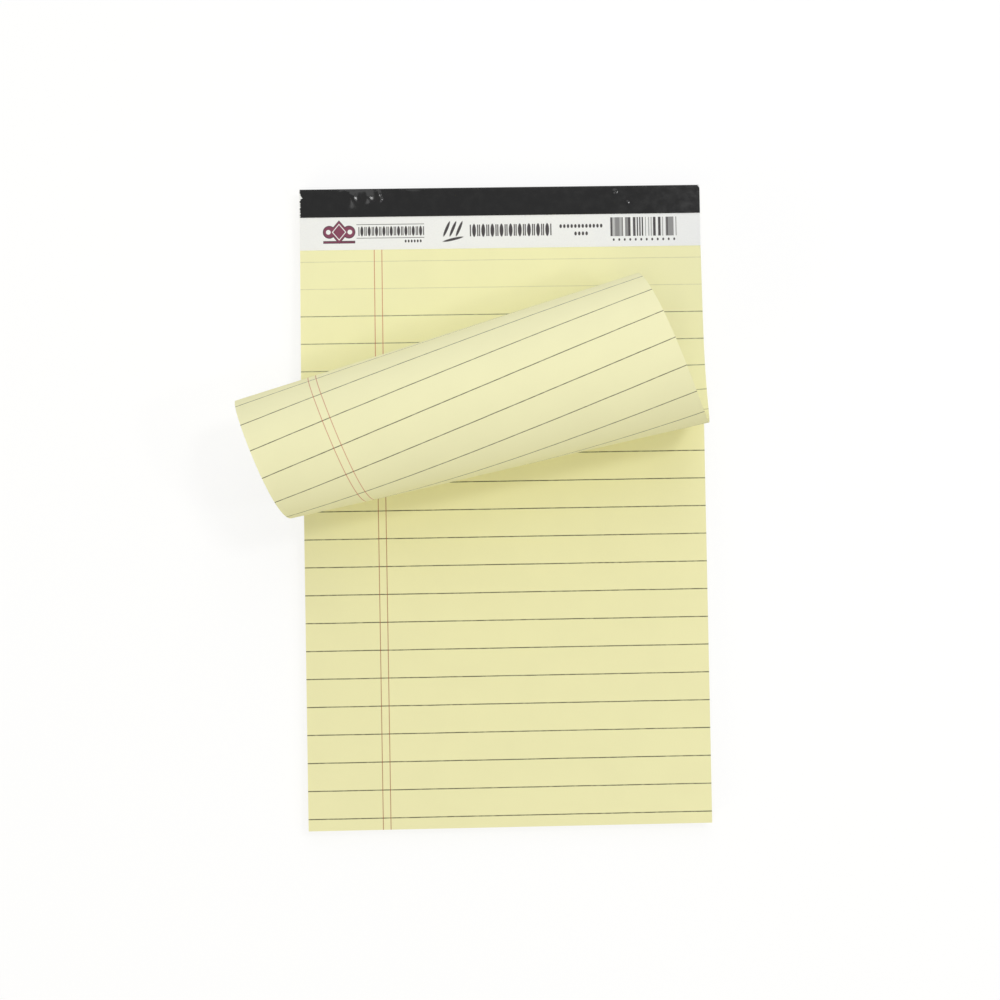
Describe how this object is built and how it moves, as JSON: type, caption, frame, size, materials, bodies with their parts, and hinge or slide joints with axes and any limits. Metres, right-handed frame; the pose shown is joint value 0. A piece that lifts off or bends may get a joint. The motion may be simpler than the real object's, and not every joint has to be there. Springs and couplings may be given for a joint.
{
  "type": "legal pad",
  "caption": "Small ruled yellow writing pad bound along its top edge, with its top sheet curled up and over.",
  "frame": {"origin": "middle of the backing board's back face", "axes": "+X to the right of the page, +Y up the page to the bound edge, +Z out of the page"},
  "size_m": [0.1456, 0.2021, 0.0518],
  "materials": {
    "chipboard": "grey-brown unlined chipboard",
    "ruled_paper": "matt yellow writing paper, ruled on both faces",
    "white_paper": "smooth white paper",
    "black_tape": "glossy black binding tape",
    "staple_wire": "bright galvanised flat wire"
  },
  "bodies": {
    "root": {"backing_board": "chipboard", "sheet_block": "ruled_paper", "curled_top_sheet": "ruled_paper", "header_strip": "white_paper", "binding_tape": "black_tape", "staple_left": "staple_wire", "staple_right": "staple_wire"}
  },
  "joints": []
}
